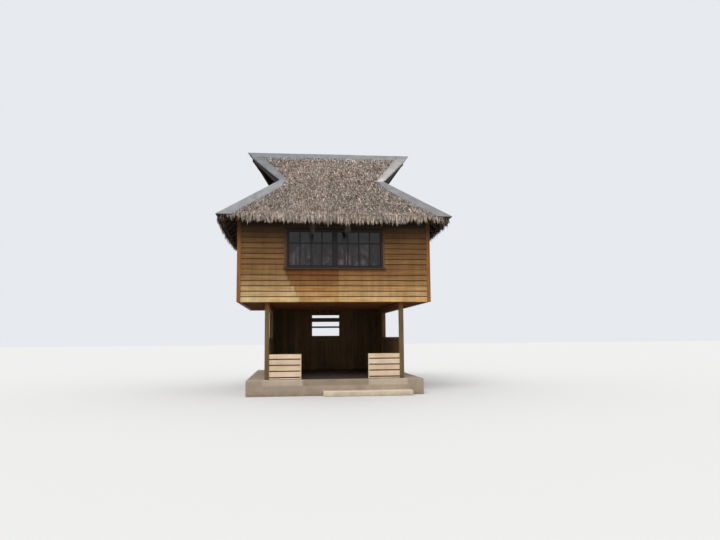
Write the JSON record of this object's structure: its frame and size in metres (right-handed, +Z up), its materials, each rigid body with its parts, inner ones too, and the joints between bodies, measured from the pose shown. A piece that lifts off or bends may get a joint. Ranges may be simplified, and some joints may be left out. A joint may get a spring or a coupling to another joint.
{
  "type": "two-storey thatched timber house on posts",
  "caption": "Small two-storey timber house on posts over a raised concrete floor, with a wide window above an open ground storey and a thatched hip-and-gable roof with metal caps.",
  "frame": {"origin": "middle of the house in plan, at ground level under the floor slab", "axes": "+Z up, the front with its doorway and step faces -Y, +X is to the right seen from the front"},
  "size_m": [6.3, 6.3, 7.3488],
  "materials": {
    "slab_concrete": "rough, weathered",
    "step_concrete": "smooth trowelled",
    "post_wood": "planed, weathered",
    "low_wall_boards": "planed, weathered",
    "dark_boards": "stained boards",
    "floor_timber": "stained, matt",
    "wall_planks": "lapped planks, worn stain",
    "corner_trim": "planed, worn stain",
    "window_wood": "dark paint, satin",
    "window_glass": "clear, dusty",
    "sill_wood": "planed, weathered",
    "roof_timber": "sawn",
    "thatch": "dry palm strands",
    "cap_metal": "folded sheet, matt grey"
  },
  "bodies": {
    "root": {"floor_slab": "slab_concrete", "front_step": "step_concrete", "ground_posts": "post_wood", "front_low_walls": "low_wall_boards", "side_low_walls": "dark_boards", "low_wall_rails": "post_wood", "rear_bay_walls": "dark_boards", "ground_rear_wall": "dark_boards", "ground_rear_window": "dark_boards", "floor_girders": "floor_timber", "floor_joists": "floor_timber", "upper_floor": "floor_timber", "front_wall": "wall_planks", "rear_wall": "wall_planks", "left_wall": "wall_planks", "right_wall": "wall_planks", "corner_boards": "corner_trim", "front_window_frame": "window_wood", "rear_window_frame": "window_wood", "left_window_frame": "window_wood", "right_window_frame": "window_wood", "window_glass": "window_glass", "window_casings": "corner_trim", "window_sills": "sill_wood", "wall_plates": "roof_timber", "tie_beams": "roof_timber", "king_posts": "roof_timber", "ridge_beam": "roof_timber", "hip_rafters": "roof_timber", "rake_rafters": "roof_timber", "front_rafters": "roof_timber", "rear_rafters": "roof_timber", "left_rafters": "roof_timber", "right_rafters": "roof_timber", "front_thatch": "thatch", "rear_thatch": "thatch", "left_thatch": "thatch", "right_thatch": "thatch", "gable_walls": "dark_boards", "thatch_battens": "roof_timber", "ridge_cap": "cap_metal", "rake_caps": "cap_metal", "hip_caps": "cap_metal"}
  },
  "joints": []
}
